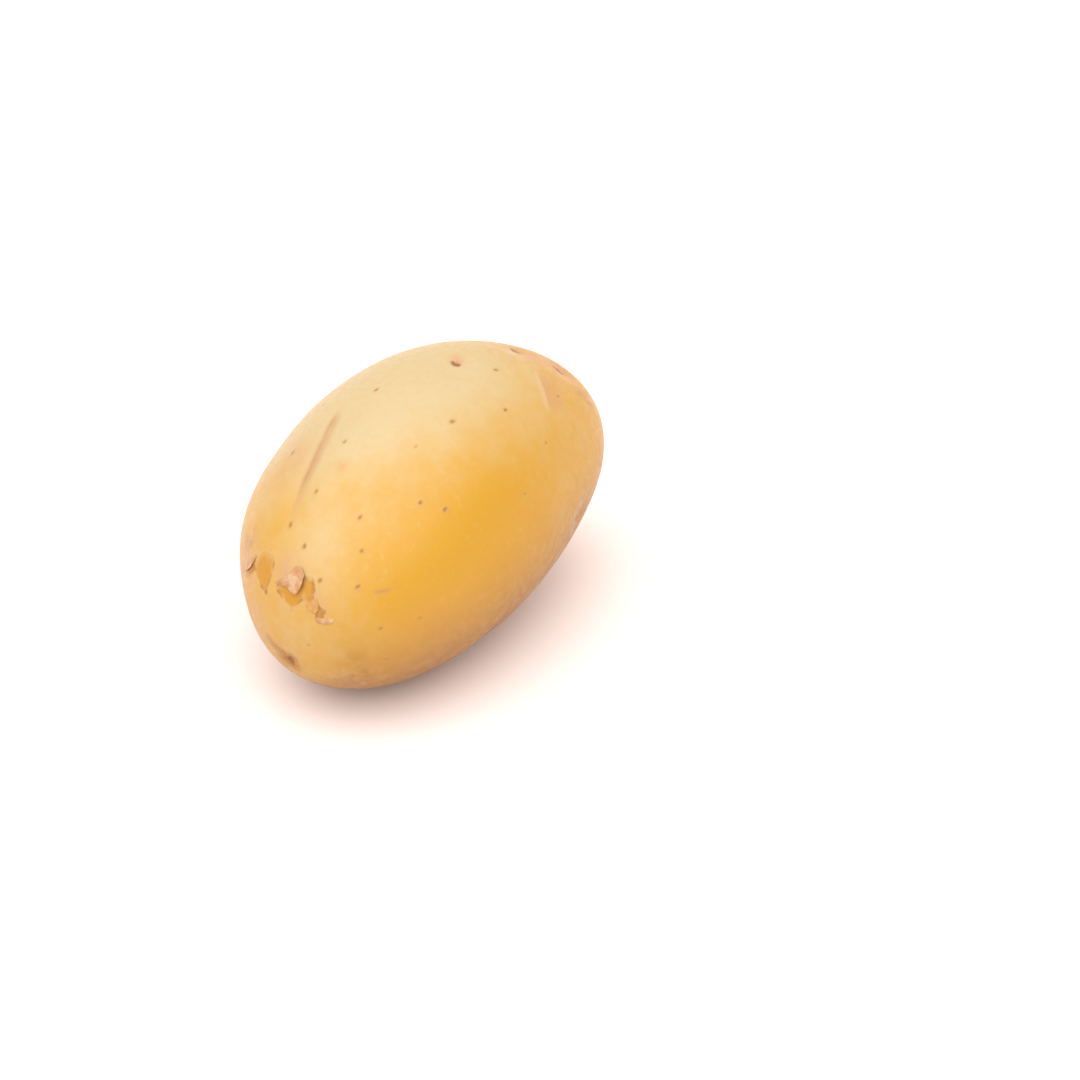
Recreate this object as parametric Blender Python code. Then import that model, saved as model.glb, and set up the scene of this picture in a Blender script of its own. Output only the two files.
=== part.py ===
"""A whole table potato, modelled as the one solid that it grew as.

The tuber is a long oval with a fuller stem end, an arched back and a slight kidney bend.
It lies on a small flat spot, with its rose end, where most of the eyes are, a little higher.

Frame: metres, +Z up. X runs along the tuber, from the stem end at -X to the rose end at +X.
The origin is under the middle of the tuber's outline, on the surface that it lies on.
"""

import math
from dataclasses import dataclass

import bmesh
import bpy
from mathutils import Matrix, Vector

# Overall sizes of the tuber, measured along its own axes before it is laid down.
LENGTH = 0.0990
WIDTH = 0.0632
HEIGHT = 0.0598

# How the outline departs from a plain oval.
STEM_END_FULLNESS = 0.025  # share by which the section grows towards the stem end
END_BLUNTNESS = 0.98  # below 1 pushes the ends out, which makes them rounder
BACK_ARCH = 0.0019  # how far the ends droop below the middle
KIDNEY_BEND = 0.0026  # how far the ends swing towards -Y

# How the tuber lies.
REST_TILT = math.radians(7.0)  # the rose end is raised by this angle
REST_SPOT_WIDTH = 0.015  # width, across the tuber, of the flat spot that it lies on

# The eyes sit at the bottom of shallow hollows, and the stem scar in a small dimple.
EYE_HOLLOW_WIDTH = 0.0085
EYE_HOLLOW_DEPTH = 0.0010
SCAR_WIDTH = 0.0075
SCAR_DEPTH = 0.0010

# A long shallow furrow runs along the back, near the stem end.
FURROW_START = -0.20  # place along the tuber, from -1 at the stem end to 1 at the rose end
FURROW_END = -0.68
FURROW_AROUND = 76.0  # degrees round the tuber, from +Y up over the top
FURROW_WIDTH = 0.0065
FURROW_DEPTH = 0.0005

# Fineness of the surface, and how the cut round the flat spot is cleaned up.
SPHERE_SUBDIVISIONS = 5
SHORTEST_EDGE = 0.0004  # edges shorter than this are closed up
LEVEL_GAP = 0.0001  # corners this near the flat spot's plane are brought onto it

SKIN_COLOUR = (0.82, 0.52, 0.20, 1.0)
SKIN_ROUGHNESS = 0.40


@dataclass(frozen=True)
class SkinPlace:
    """A place on the skin: along runs from -1 to 1, around is in degrees from +Y up over the top."""

    along: float
    around: float

    def direction(self):
        """The same place on a sphere of radius 1."""
        angle = math.radians(self.around)
        ring = math.sqrt(1.0 - self.along**2)
        return Vector((self.along, ring * math.cos(angle), ring * math.sin(angle)))


@dataclass(frozen=True)
class Lump:
    """A broad swelling of the skin, or a hollow where its height is negative."""

    place: SkinPlace
    width: float
    height: float


@dataclass(frozen=True)
class Eye:
    """An eye's hollow. Its size is a share of the usual width and depth."""

    place: SkinPlace
    size: float


EYES = (
    Eye(SkinPlace(0.25, 95.0), 0.85),
    Eye(SkinPlace(0.67, 97.0), 0.95),
    Eye(SkinPlace(0.77, 122.0), 0.90),
    Eye(SkinPlace(0.84, 48.0), 1.10),
    Eye(SkinPlace(0.62, 5.0), 1.25),
    Eye(SkinPlace(0.90, 190.0), 1.10),
    Eye(SkinPlace(0.80, -95.0), 1.00),
    Eye(SkinPlace(0.42, 195.0), 1.05),
    Eye(SkinPlace(0.98, -20.0), 0.90),
    Eye(SkinPlace(0.15, -25.0), 1.15),
    Eye(SkinPlace(-0.25, -140.0), 1.05),
    Eye(SkinPlace(-0.50, -5.0), 1.00),
)

STEM_SCAR = SkinPlace(-0.99, -80.0)

LUMPS = (
    Lump(SkinPlace(-0.70, 40.0), 0.045, 0.0008),
    Lump(SkinPlace(-0.90, 15.0), 0.035, -0.0006),
    Lump(SkinPlace(-0.80, -70.0), 0.040, 0.0009),
    Lump(SkinPlace(0.35, 60.0), 0.055, 0.0006),
    Lump(SkinPlace(0.25, 180.0), 0.062, -0.0013),
    Lump(SkinPlace(0.75, 155.0), 0.045, 0.0009),
    Lump(SkinPlace(0.80, -25.0), 0.045, -0.0012),
    Lump(SkinPlace(0.55, -65.0), 0.045, 0.0009),
    Lump(SkinPlace(0.00, -90.0), 0.045, 0.0008),
    Lump(SkinPlace(-0.15, -20.0), 0.060, -0.0012),
)


def clear_scene():
    """Removes every object of the open file."""
    for item in list(bpy.data.objects):
        bpy.data.objects.remove(item, do_unlink=True)


def body_point(direction):
    """The smooth body's point for a direction on a sphere of radius 1."""
    along = direction.x
    blunt = math.copysign(abs(along) ** END_BLUNTNESS, along)
    section = 1.0 - STEM_END_FULLNESS * along
    bow = along**2 - 1.0 / 3.0
    return Vector(
        (
            0.5 * LENGTH * blunt,
            0.5 * WIDTH * section * direction.y - KIDNEY_BEND * bow,
            0.5 * HEIGHT * section * direction.z - BACK_ARCH * bow,
        )
    )


def bell(distance, width):
    """1 at the middle of a feature, a fifth at half its width, and almost 0 at its full width."""
    return math.exp(-((2.5 * distance / width) ** 2))


def furrow_distance(direction, point):
    """Distance from a point of the body to the furrow's line."""
    along = min(max(direction.x, FURROW_END), FURROW_START)
    nearest = SkinPlace(along, FURROW_AROUND)
    return (point - body_point(nearest.direction())).length


def relief(direction, point):
    """How far the skin stands out at a point: lumps out, eyes, scar and furrow in."""
    height = 0.0
    for lump in LUMPS:
        gap = (point - body_point(lump.place.direction())).length
        height += lump.height * bell(gap, lump.width)
    for eye in EYES:
        gap = (point - body_point(eye.place.direction())).length
        height -= eye.size * EYE_HOLLOW_DEPTH * bell(gap, eye.size * EYE_HOLLOW_WIDTH)
    scar_gap = (point - body_point(STEM_SCAR.direction())).length
    height -= SCAR_DEPTH * bell(scar_gap, SCAR_WIDTH)
    height -= FURROW_DEPTH * bell(furrow_distance(direction, point), FURROW_WIDTH)
    return height


def grow_tuber(shape):
    """Fills the bmesh with the closed tuber, lying level with its axis through the origin."""
    bmesh.ops.create_icosphere(shape, subdivisions=SPHERE_SUBDIVISIONS, radius=1.0)
    directions = [vertex.co.normalized() for vertex in shape.verts]
    for vertex, direction in zip(shape.verts, directions):
        vertex.co = body_point(direction)
    shape.normal_update()
    outward = [vertex.normal.copy() for vertex in shape.verts]
    for vertex, direction, normal in zip(shape.verts, directions, outward):
        vertex.co += relief(direction, vertex.co) * normal


def rest_spot_depth():
    """How deep the flat spot is cut, from its width and the roundness of the section."""
    section_radius = (0.5 * WIDTH) ** 2 / (0.5 * HEIGHT)
    return section_radius - math.sqrt(section_radius**2 - (0.5 * REST_SPOT_WIDTH) ** 2)


def lay_down(shape):
    """Raises the rose end and cuts the flat spot that the tuber lies on."""
    raise_rose_end = Matrix.Rotation(-REST_TILT, 3, "Y")
    bmesh.ops.rotate(shape, cent=(0.0, 0.0, 0.0), matrix=raise_rose_end, verts=shape.verts)
    floor = min(vertex.co.z for vertex in shape.verts) + rest_spot_depth()
    cut = bmesh.ops.bisect_plane(
        shape,
        geom=shape.verts[:] + shape.edges[:] + shape.faces[:],
        plane_co=(0.0, 0.0, floor),
        plane_no=(0.0, 0.0, -1.0),
        clear_outer=True,
    )
    rim = [piece for piece in cut["geom_cut"] if isinstance(piece, bmesh.types.BMEdge)]
    bmesh.ops.contextual_create(shape, geom=rim)
    bmesh.ops.remove_doubles(shape, verts=shape.verts, dist=SHORTEST_EDGE)
    for vertex in shape.verts:
        if abs(vertex.co.z - floor) < LEVEL_GAP:
            vertex.co.z = floor


def centre_over_origin(shape):
    """Moves the tuber so that the origin is under the middle of its outline, on the surface."""
    corners = [vertex.co for vertex in shape.verts]
    middle = Vector(
        (
            0.5 * (min(c.x for c in corners) + max(c.x for c in corners)),
            0.5 * (min(c.y for c in corners) + max(c.y for c in corners)),
            min(c.z for c in corners),
        )
    )
    bmesh.ops.translate(shape, vec=-middle, verts=shape.verts)


def skin_material():
    """Smooth yellow skin with a soft satin gloss."""
    material = bpy.data.materials.new("skin")
    material.use_nodes = True
    shader = material.node_tree.nodes["Principled BSDF"]
    shader.inputs["Base Color"].default_value = SKIN_COLOUR
    shader.inputs["Roughness"].default_value = SKIN_ROUGHNESS
    shader.inputs["Metallic"].default_value = 0.0
    return material


def build_potato():
    """Makes the potato as one closed object."""
    shape = bmesh.new()
    grow_tuber(shape)
    lay_down(shape)
    centre_over_origin(shape)
    bmesh.ops.recalc_face_normals(shape, faces=shape.faces)
    mesh = bpy.data.meshes.new("potato")
    shape.to_mesh(mesh)
    shape.free()
    mesh.shade_smooth()
    mesh.materials.append(skin_material())
    potato = bpy.data.objects.new("potato", mesh)
    bpy.context.scene.collection.objects.link(potato)
    return potato


def main():
    """Clears the file and builds the potato in it."""
    clear_scene()
    build_potato()


if __name__ == "__main__":
    main()
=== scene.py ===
"""A whole table potato with smooth yellow skin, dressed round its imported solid.

The skin is one fine mesh grown from a copy of the solid. Its features, such as eyes, lenticels,
the stem scar and the torn ring near the stem end, each stand the surface proud or sink it, and
leave marks on it that the skin's finish reads. Loose flakes of skin are thin sheets of their own.

Units are metres. X runs along the tuber, from the stem end at -X to the rose end at +X.
"""

import logging
import math
from dataclasses import dataclass, field
from enum import Enum

import bmesh
import bpy
import numpy as np
from mathutils import Matrix, Vector, noise
from mathutils.bvhtree import BVHTree


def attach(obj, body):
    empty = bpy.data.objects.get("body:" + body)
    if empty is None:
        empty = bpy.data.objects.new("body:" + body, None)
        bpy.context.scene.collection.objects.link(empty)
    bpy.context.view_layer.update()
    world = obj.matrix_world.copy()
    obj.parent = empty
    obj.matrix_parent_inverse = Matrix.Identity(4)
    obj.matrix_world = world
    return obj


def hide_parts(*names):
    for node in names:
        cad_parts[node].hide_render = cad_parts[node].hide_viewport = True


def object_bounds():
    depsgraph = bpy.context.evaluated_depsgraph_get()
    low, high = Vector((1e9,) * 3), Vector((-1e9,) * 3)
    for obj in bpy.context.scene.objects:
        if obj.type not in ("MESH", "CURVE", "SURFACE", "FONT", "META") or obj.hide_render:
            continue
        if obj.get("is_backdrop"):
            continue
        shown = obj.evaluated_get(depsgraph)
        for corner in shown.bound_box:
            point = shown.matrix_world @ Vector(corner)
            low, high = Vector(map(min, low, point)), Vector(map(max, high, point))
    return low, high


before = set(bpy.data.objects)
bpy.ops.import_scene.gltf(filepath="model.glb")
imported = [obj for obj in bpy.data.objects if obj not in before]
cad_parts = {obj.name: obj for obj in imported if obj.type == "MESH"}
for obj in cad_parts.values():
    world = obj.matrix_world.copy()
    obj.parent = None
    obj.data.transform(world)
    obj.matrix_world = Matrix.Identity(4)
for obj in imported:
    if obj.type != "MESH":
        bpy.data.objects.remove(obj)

MM = 0.001
BODY = "root"
SOLID = "potato"

Colour = tuple[float, float, float]

log = logging.getLogger("potato")


class Mark(Enum):
    """The marks that the features leave on the skin, by the name of their attribute."""

    GOLD = "gold"  # 0 where the skin is cream, 1 where it is deep yellow; partly painted light, a highlight and bounced yellow light
    BLUSH = "blush"  # 0 to 1, warm orange pink
    DULL = "dull"  # 0 to 1, painted shade: darker, browner skin towards the underside
    DRY = "dry"  # 0 to 1, dried pinkish skin that is about to come loose
    STAIN = "stain"  # 0 to 1, faint brown blotches and rubbed soil
    SPECK = "speck"  # distance from the nearest lenticel, in its own radii
    SPECK_TONE = "speck_tone"  # how dark the lenticels are here, 0 to 1
    LID = "lid"  # distance from the nearest eye's lid, in lid widths
    BUD = "bud"  # 0 to 1, pink buds and the skin round them
    CREASE = "crease_shade"  # 0 to 1, painted shade on the furrow's line and to one side of it
    FOLD = "fold"  # 0 to 1 on the pale folded edge
    SCAR = "scar"  # distance from the middle of the stem scar, in its own radii
    TORN = "torn"  # distance inside the edge of a torn patch, in millimetres


class Seed(Enum):
    """Where each unevenness reads the noise, so that no two of them look alike."""

    WAVES = 3.0
    DIMPLES = 8.0
    UNDERSIDE = 40.0
    LID = 12.0
    STREAK_EDGE = 17.0
    STREAK_BUMPS = 23.0
    CREASE = 5.0
    TORN_EDGE = 21.0
    TORN_TEETH = 31.0


SEED_SHIFT = (1.0, 1.7, -0.6)  # the direction that a seed moves the noise in
FAR_OFF = 6.0  # what a distance mark says where there is nothing near
USUAL_GOLD = 0.80  # how golden the skin is where no tone changes it
USUAL_PORE = 0.42 * MM  # the radius of a lenticel whose relief has the usual height


# ---- The tuber's form, and places on it ----


@dataclass(frozen=True)
class SkinPlace:
    """A place on the skin: along runs from -1 to 1, around is in degrees from +Y up over the top."""

    along: float
    around: float

    def direction(self) -> np.ndarray:
        """The same place on a sphere of radius 1."""
        angle = math.radians(self.around)
        ring = math.sqrt(1.0 - self.along**2)
        return np.array((self.along, ring * math.cos(angle), ring * math.sin(angle)))


@dataclass(frozen=True)
class Spot:
    """A point of the skin with its own small frame."""

    point: np.ndarray
    outward: np.ndarray
    endward: np.ndarray  # along the skin, towards the rose end
    sideways: np.ndarray

    def gaps(self, points: np.ndarray) -> tuple[np.ndarray, np.ndarray, np.ndarray]:
        """Where points lie from this spot.

        Args:
            points: An array of points, three numbers each.

        Returns:
            The distance, the share of it towards the rose end, and the share sideways.
        """
        offset = points - self.point
        return (
            np.linalg.norm(offset, axis=1),
            offset @ self.endward,
            offset @ self.sideways,
        )


@dataclass
class Tuber:
    """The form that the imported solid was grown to, and the solid's surface."""

    length: float = 0.0990
    width: float = 0.0632
    height: float = 0.0598
    stem_end_fullness: float = 0.025
    back_arch: float = 0.0019
    kidney_bend: float = 0.0026
    rest_tilt: float = math.radians(7.0)
    axis_side: float = -0.0009
    axis_height: float = 0.0295
    evening: float = 0.2  # how far a spot's outward direction leans to the line from the centre
    surface: BVHTree | None = None

    def centre(self) -> np.ndarray:
        """The middle of the tuber's axis."""
        return np.array((0.0, self.axis_side, self.axis_height))

    def turned(self) -> np.ndarray:
        """The matrix that lays the tuber's own axes down into the frame."""
        return np.array(Matrix.Rotation(-self.rest_tilt, 3, "Y"))

    def read_surface(self, shape: bmesh.types.BMesh) -> None:
        """Keeps the surface that places are found on."""
        self.surface = BVHTree.FromBMesh(shape)

    def section_and_bow(self, along: np.ndarray | float) -> tuple[np.ndarray, np.ndarray]:
        """The section's share of its usual size at a place along, and how far it has bent there."""
        return 1.0 - self.stem_end_fullness * along, along**2 - 1.0 / 3.0

    def body_point(self, direction: np.ndarray) -> np.ndarray:
        """The smooth body's point for one direction.

        Args:
            direction: The direction, on a sphere of radius 1.

        Returns:
            The point, in the frame.
        """
        section, bow = self.section_and_bow(direction[0])
        own = np.array(
            (
                0.5 * self.length * direction[0],
                0.5 * self.width * section * direction[1] - self.kidney_bend * bow,
                0.5 * self.height * section * direction[2] - self.back_arch * bow,
            )
        )
        return self.turned() @ own + self.centre()

    def directions(self, points: np.ndarray) -> np.ndarray:
        """The directions, on a sphere of radius 1, that points of the skin came from.

        Args:
            points: An array of points, three numbers each.

        Returns:
            An array of unit vectors.
        """
        own = (points - self.centre()) @ self.turned()
        along = np.clip(own[:, 0] / (0.5 * self.length), -1.0, 1.0)
        section, bow = self.section_and_bow(along)
        found = np.column_stack(
            (
                along,
                (own[:, 1] + self.kidney_bend * bow) / (0.5 * self.width * section),
                (own[:, 2] + self.back_arch * bow) / (0.5 * self.height * section),
            )
        )
        return found / np.linalg.norm(found, axis=1)[:, None]

    def spot(self, place: SkinPlace) -> Spot:
        """The point of the skin at a place, with the frame that features are laid out in.

        Args:
            place: The place.

        Returns:
            The spot.
        """
        guess = self.body_point(place.direction())
        point, normal, _, _ = self.surface.find_nearest(Vector(guess))
        outward = np.array((Vector(guess) - Vector(self.centre())).normalized()) * self.evening
        outward = outward + np.array(normal)
        outward /= np.linalg.norm(outward)
        sideways = np.cross(outward, self.turned() @ np.array((1.0, 0.0, 0.0)))
        sideways /= np.linalg.norm(sideways)
        return Spot(np.array(point), outward, np.cross(sideways, outward), sideways)


@dataclass
class SkinField:
    """Every point of the fine skin, with the height and the marks that the features give it."""

    tuber: Tuber
    points: np.ndarray
    directions: np.ndarray
    height: np.ndarray
    marks: dict[Mark, np.ndarray] = field(default_factory=dict)

    def __post_init__(self) -> None:
        """Starts every mark with its value for plain skin."""
        starts = {Mark.SPECK: FAR_OFF, Mark.LID: FAR_OFF, Mark.SCAR: FAR_OFF}
        starts |= {Mark.TORN: -FAR_OFF, Mark.GOLD: USUAL_GOLD}
        for mark in Mark:
            self.marks[mark] = np.full(len(self.points), starts.get(mark, 0.0))

    def raise_mark(self, mark: Mark, near: np.ndarray, values: np.ndarray) -> None:
        """Keeps the higher of a mark's value and the new one, at the points that are near."""
        self.marks[mark][near] = np.maximum(self.marks[mark][near], values)

    def lower_mark(self, mark: Mark, near: np.ndarray, values: np.ndarray) -> None:
        """Keeps the lower of a mark's value and the new one, at the points that are near."""
        self.marks[mark][near] = np.minimum(self.marks[mark][near], values)


def smooth_step(values: np.ndarray, start: float, end: float) -> np.ndarray:
    """0 before start, 1 after end, and a soft slope between them."""
    share = np.clip((values - start) / (end - start), 0.0, 1.0)
    return share * share * (3.0 - 2.0 * share)


def bell(distances: np.ndarray, width: float) -> np.ndarray:
    """1 at the middle, a fifth at half the width, and almost 0 at the full width."""
    return np.exp(-((2.5 * distances / width) ** 2))


def hump(values: np.ndarray, middle: float, width: float) -> np.ndarray:
    """1 at the middle, about a third at the width on both sides of it, and then almost 0."""
    return np.exp(-(((values - middle) / width) ** 2))


def line_fade(share: np.ndarray, full: float, fading: float, gone: float) -> np.ndarray:
    """0 at a line's start, 1 between its full and fading shares, and 0 again where it's gone."""
    return smooth_step(share, 0.0, full) * (1.0 - smooth_step(share, fading, gone))


def grain(points: np.ndarray, size: float, seed: Seed) -> np.ndarray:
    """Smooth unevenness from about -1 to 1, with bumps of a given size."""
    shift = Vector(seed.value * np.array(SEED_SHIFT))
    return np.array([noise.noise(Vector(point) / size + shift) for point in points])


def path_gaps(
    points: np.ndarray, corners: list[np.ndarray]
) -> tuple[np.ndarray, np.ndarray, np.ndarray]:
    """How points lie from a line of corners.

    Args:
        points: An array of points, three numbers each.
        corners: The line's corners, in order.

    Returns:
        The distances, how far along the line the nearest point is, from 0 to 1, and the steps
        from that nearest point.
    """
    best = np.full(len(points), np.inf)
    share = np.zeros(len(points))
    away = np.zeros_like(points)
    steps = len(corners) - 1
    for index, (start, end) in enumerate(zip(corners, corners[1:])):
        run = end - start
        along = np.clip((points - start) @ run / (run @ run), 0.0, 1.0)
        offset = points - start - along[:, None] * run
        gap = np.linalg.norm(offset, axis=1)
        closer = gap < best
        best[closer] = gap[closer]
        away[closer] = offset[closer]
        share[closer] = (index + along[closer]) / steps
    return best, share, away


# ---- The skin's features ----


class SkinFeature:
    """Something on the skin that has a relief, marks, or both."""

    def reach(self, tuber: Tuber, points: np.ndarray) -> np.ndarray:
        """How far points are outside the part of this feature that needs a fine mesh."""
        return np.full(len(points), np.inf)

    def grow(self, skin: SkinField) -> None:
        """Adds this feature's height and marks to the skin."""
        raise NotImplementedError


@dataclass(frozen=True)
class SpotFeature(SkinFeature):
    """A feature round one place on the skin."""

    place: SkinPlace

    def fine_radius(self) -> float:
        """How far from its place the feature needs a fine mesh."""
        raise NotImplementedError

    def reach(self, tuber: Tuber, points: np.ndarray) -> np.ndarray:
        """How far points are outside the part of this feature that needs a fine mesh."""
        return tuber.spot(self.place).gaps(points)[0] - self.fine_radius()


@dataclass(frozen=True)
class LineFeature(SkinFeature):
    """A feature along a line over the skin."""

    places: tuple[SkinPlace, ...]

    def fine_radius(self) -> float:
        """How far from its line the feature needs a fine mesh."""
        raise NotImplementedError

    def corners(self, tuber: Tuber) -> list[np.ndarray]:
        """The line's corners on the skin."""
        return [tuber.spot(place).point for place in self.places]

    def middle(self, tuber: Tuber) -> Spot:
        """The spot halfway along the line."""
        return tuber.spot(self.places[len(self.places) // 2])

    def reach(self, tuber: Tuber, points: np.ndarray) -> np.ndarray:
        """How far points are outside the part of this feature that needs a fine mesh."""
        return path_gaps(points, self.corners(tuber))[0] - self.fine_radius()


@dataclass(frozen=True)
class Unevenness(SkinFeature):
    """The gentle waviness that no grown thing is without."""

    wave_size: float = 13.0 * MM
    wave_height: float = 0.16 * MM
    dimple_size: float = 4.2 * MM
    dimple_height: float = 0.028 * MM

    def grow(self, skin: SkinField) -> None:
        """Adds the broad waves and the small dimples."""
        skin.height += self.wave_height * grain(skin.points, self.wave_size, Seed.WAVES)
        skin.height += self.dimple_height * grain(skin.points, self.dimple_size, Seed.DIMPLES)


@dataclass(frozen=True)
class Tone(SkinFeature):
    """A broad soft patch of another skin tone."""

    mark: Mark
    place: SkinPlace
    width: float
    amount: float

    def grow(self, skin: SkinField) -> None:
        """Adds the patch to the skin's own tone."""
        gap, _, _ = skin.tuber.spot(self.place).gaps(skin.points)
        skin.marks[self.mark] += self.amount * bell(gap, self.width)


@dataclass(frozen=True)
class UndersideShade(SkinFeature):
    """Painted shade: darker, browner skin towards the underside, fading out up the sides."""

    start: float = 0.34
    end: float = -0.80
    wave: float = 0.10
    wave_size: float = 16.0 * MM
    stem_end_start: float = 0.88
    stem_end_full: float = 0.99
    clean_stem_end: float = 0.80  # how much of the painted shade the raised stem end is spared

    def grow(self, skin: SkinField) -> None:
        """Paints shade on the skin that faces down.

        Args:
            skin: The skin, whose painted shade mark this changes.
        """
        wave = self.wave * grain(skin.points, self.wave_size, Seed.UNDERSIDE)
        down = skin.directions[:, 2] + wave
        stem_end = smooth_step(-skin.directions[:, 0], self.stem_end_start, self.stem_end_full)
        dull = smooth_step(-down, -self.start, -self.end)
        skin.marks[Mark.DULL] += dull * (1.0 - self.clean_stem_end * stem_end)


@dataclass(frozen=True)
class Eye(SpotFeature):
    """An eye: a brow on the stem side, a dark lid under it, and buds that haven't sprouted."""

    size: float
    buds: int = 1
    turn: float = 0.0  # degrees that the brow is turned round the eye
    brow_radius: float = 2.1 * MM
    brow_height: float = 0.07 * MM
    brow_width: float = 1.5 * MM
    brow_fade: tuple[float, float] = (0.5, 1.5)  # radians from the brow's middle
    pit_depth: float = 0.22 * MM
    pit_spread: float = 2.6  # the pit's width, in brow radii
    lid_radius: float = 1.05 * MM
    lid_width: float = 0.58 * MM
    lid_depth: float = 0.10 * MM
    lid_sweep: float = math.radians(50.0)
    lid_taper: float = 0.5
    taper_sweep: float = 1.3  # where the lid is thinnest, in lid sweeps
    wander: float = 0.16 * MM
    wander_size: float = 1.3 * MM
    bud_radius: float = 0.46 * MM
    bud_height: float = 0.24 * MM
    bud_spacing: float = 1.15 * MM
    bud_stemward: float = 0.15 * MM
    bud_stagger: float = 0.90 * MM
    bud_shrink: float = 0.25
    halo_width: float = 4.6 * MM
    halo_pink: float = 0.55
    fine_reach: float = 1.75 * MM
    full_reach: float = 12.0 * MM

    def fine_radius(self) -> float:
        """How far from its place the eye needs a fine mesh."""
        return self.fine_reach * self.size

    def lid_distance(self, radius: np.ndarray, swing: np.ndarray, wander: np.ndarray) -> np.ndarray:
        """The distance from the lid, in lid widths.

        Args:
            radius: The distance from the eye's middle.
            swing: The angle from the brow's middle.
            wander: The unevenness of the lid's line, from about -1 to 1.

        Returns:
            The distance, 0 on the lid.
        """
        shift = self.wander * self.size * wander
        gap = np.abs(radius - self.lid_radius * self.size + shift)
        past = np.clip(swing - self.lid_sweep, 0.0, None) * radius
        taper = 1.0 - self.lid_taper * smooth_step(swing, 0.0, self.taper_sweep * self.lid_sweep)
        return np.hypot(gap, past) / (self.lid_width * self.size * taper)

    def grow(self, skin: SkinField) -> None:
        """Adds the brow, the pit, the lid and the buds.

        Args:
            skin: The skin, whose height, lid and bud marks this changes.
        """
        gap, end, side = skin.tuber.spot(self.place).gaps(skin.points)
        near = gap < self.full_reach
        turn = math.radians(self.turn)
        stemward = -end[near] * math.cos(turn) + side[near] * math.sin(turn)
        across = end[near] * math.sin(turn) + side[near] * math.cos(turn)
        radius = np.hypot(stemward, across)
        swing = np.abs(np.arctan2(across, stemward))
        brow = bell(radius - self.brow_radius * self.size, self.brow_width * self.size)
        brow *= 1.0 - smooth_step(swing, *self.brow_fade)
        rise = self.brow_height * self.size * brow
        rise -= self.pit_depth * bell(radius, self.pit_spread * self.brow_radius * self.size)
        wander = grain(skin.points[near], self.wander_size, Seed.LID)
        lid = self.lid_distance(radius, swing, wander)
        rise -= self.lid_depth * hump(lid, 0.0, 1.0)
        pink = self.halo_pink * bell(radius, self.halo_width * self.size)
        for index in range(self.buds):
            step = index - 0.5 * (self.buds - 1)
            back = (self.bud_stagger * abs(step) - self.bud_stemward) * self.size
            bud_gap = np.hypot(stemward + back, across - self.bud_spacing * self.size * step)
            share = 1.0 - self.bud_shrink * abs(step)
            dome = hump(bud_gap, 0.0, self.bud_radius * self.size * share)
            rise += self.bud_height * share * dome
            pink = np.maximum(pink, dome)
        skin.height[near] += rise
        skin.lower_mark(Mark.LID, near, lid)
        skin.raise_mark(Mark.BUD, near, pink)


@dataclass(frozen=True)
class Lenticel(SpotFeature):
    """A breathing pore: a small brown oval with a raised rim. Its widths are in its own radii."""

    radius: float = USUAL_PORE
    tone: float = 0.8
    stretch: float = 1.5  # how much longer it is along the tuber than across it
    rim_height: float = 0.035 * MM
    rim_middle: float = 1.25
    rim_width: float = 0.55
    pit_depth: float = 0.075 * MM
    pit_width: float = 0.75
    tone_width: float = 3.5
    fine_reach: float = 1.6
    full_reach: float = 12.0

    def fine_radius(self) -> float:
        """How far from its place the pore needs a fine mesh."""
        return self.fine_reach * self.radius

    def grow(self, skin: SkinField) -> None:
        """Adds the pore with its rim.

        Args:
            skin: The skin, whose height and speck marks this changes.
        """
        gap, end, side = skin.tuber.spot(self.place).gaps(skin.points)
        near = gap < self.full_reach * self.radius
        stretch = math.sqrt(self.stretch)
        share = np.hypot(end[near] / stretch, side[near] * stretch) / self.radius
        rise = self.rim_height * hump(share, self.rim_middle, self.rim_width)
        rise -= self.pit_depth * hump(share, 0.0, self.pit_width)
        skin.height[near] += rise * self.radius / USUAL_PORE
        skin.lower_mark(Mark.SPECK, near, share)
        skin.raise_mark(Mark.SPECK_TONE, near, self.tone * hump(share, 0.0, self.tone_width))


@dataclass(frozen=True)
class StemScar(SpotFeature):
    """Where the stem came off: a corky ring round a dark pit. Its widths are in its own radii."""

    radius: float = 1.9 * MM
    ring_height: float = 0.16 * MM
    ring_width: float = 0.35
    pit_depth: float = 0.42 * MM
    pit_width: float = 0.55
    big_lobes: tuple[float, float, float] = (0.13, 3.0, 0.7)  # their size, count and turn
    small_lobes: tuple[float, float, float] = (0.08, 7.0, 0.0)
    cracks: float = 11.0
    crack_bend: float = 2.0
    crack_bends: float = 3.0
    crack_share: float = 0.35  # of the ring's height that the cracks take
    fine_reach: float = 1.6
    full_reach: float = 6.0

    def fine_radius(self) -> float:
        """How far from its place the scar needs a fine mesh."""
        return self.fine_reach * self.radius

    def grow(self, skin: SkinField) -> None:
        """Adds the ring, its cracks and the pit.

        Args:
            skin: The skin, whose height and scar mark this changes.
        """
        gap, end, side = skin.tuber.spot(self.place).gaps(skin.points)
        near = gap < self.full_reach * self.radius
        angle = np.arctan2(side[near], end[near])
        ragged = 1.0
        for size, count, turn in (self.big_lobes, self.small_lobes):
            ragged = ragged + size * np.sin(count * angle + turn)
        share = gap[near] / (self.radius * ragged)
        bend = self.crack_bend * np.sin(self.crack_bends * angle)
        cracks = 0.5 + 0.5 * np.sin(self.cracks * angle + bend)
        ring = hump(share, 1.0, self.ring_width)
        rise = self.ring_height * ring * (1.0 - self.crack_share + self.crack_share * cracks)
        rise -= self.pit_depth * hump(share, 0.0, self.pit_width)
        skin.height[near] += rise
        skin.lower_mark(Mark.SCAR, near, share)


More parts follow.
